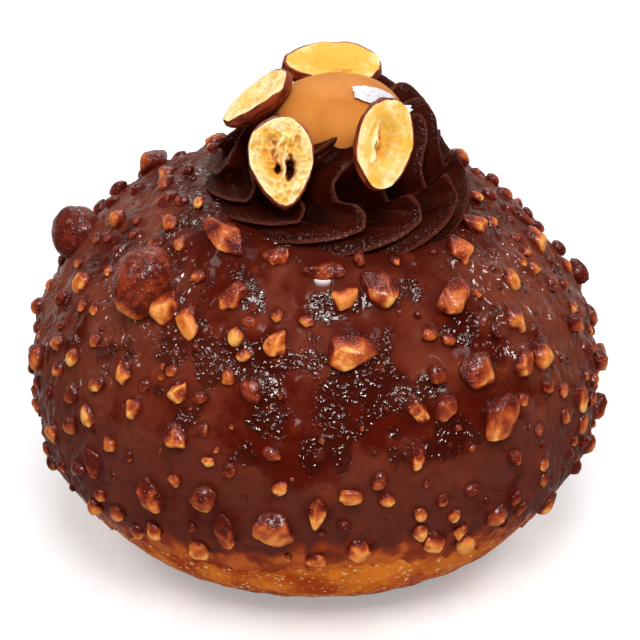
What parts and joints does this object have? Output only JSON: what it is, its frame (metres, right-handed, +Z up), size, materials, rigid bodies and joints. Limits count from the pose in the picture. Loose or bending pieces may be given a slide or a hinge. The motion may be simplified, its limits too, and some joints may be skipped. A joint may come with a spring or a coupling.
{
  "type": "filled doughnut",
  "caption": "Round filled doughnut dipped in chocolate glaze with chopped hazelnuts, topped with a piped chocolate swirl, a caramel dome, hazelnut halves and silver leaf.",
  "frame": {"origin": "middle of the flat spot that the bun stands on", "axes": "+Z up through the bun, the front with the lower tier of the swirl towards -Y, +X to the right seen from the front"},
  "size_m": [0.0912, 0.0936, 0.0794],
  "materials": {
    "dough": "golden fried crust, satin",
    "glaze": "glossy milk chocolate with roasted nut pieces",
    "cream": "satin dark chocolate cream",
    "caramel": "smooth glossy caramel",
    "hazelnut": "pale kernel with a brown skin",
    "silver": "thin crumpled silver leaf"
  },
  "bodies": {
    "root": {"dough": "dough", "chocolate_coat": "glaze", "chocolate_swirl": "cream", "caramel_dome": "caramel", "hazelnut_half_back": "hazelnut", "hazelnut_half_left": "hazelnut", "hazelnut_half_front_left": "hazelnut", "hazelnut_half_front_right": "hazelnut", "silver_leaf": "silver"}
  },
  "joints": []
}
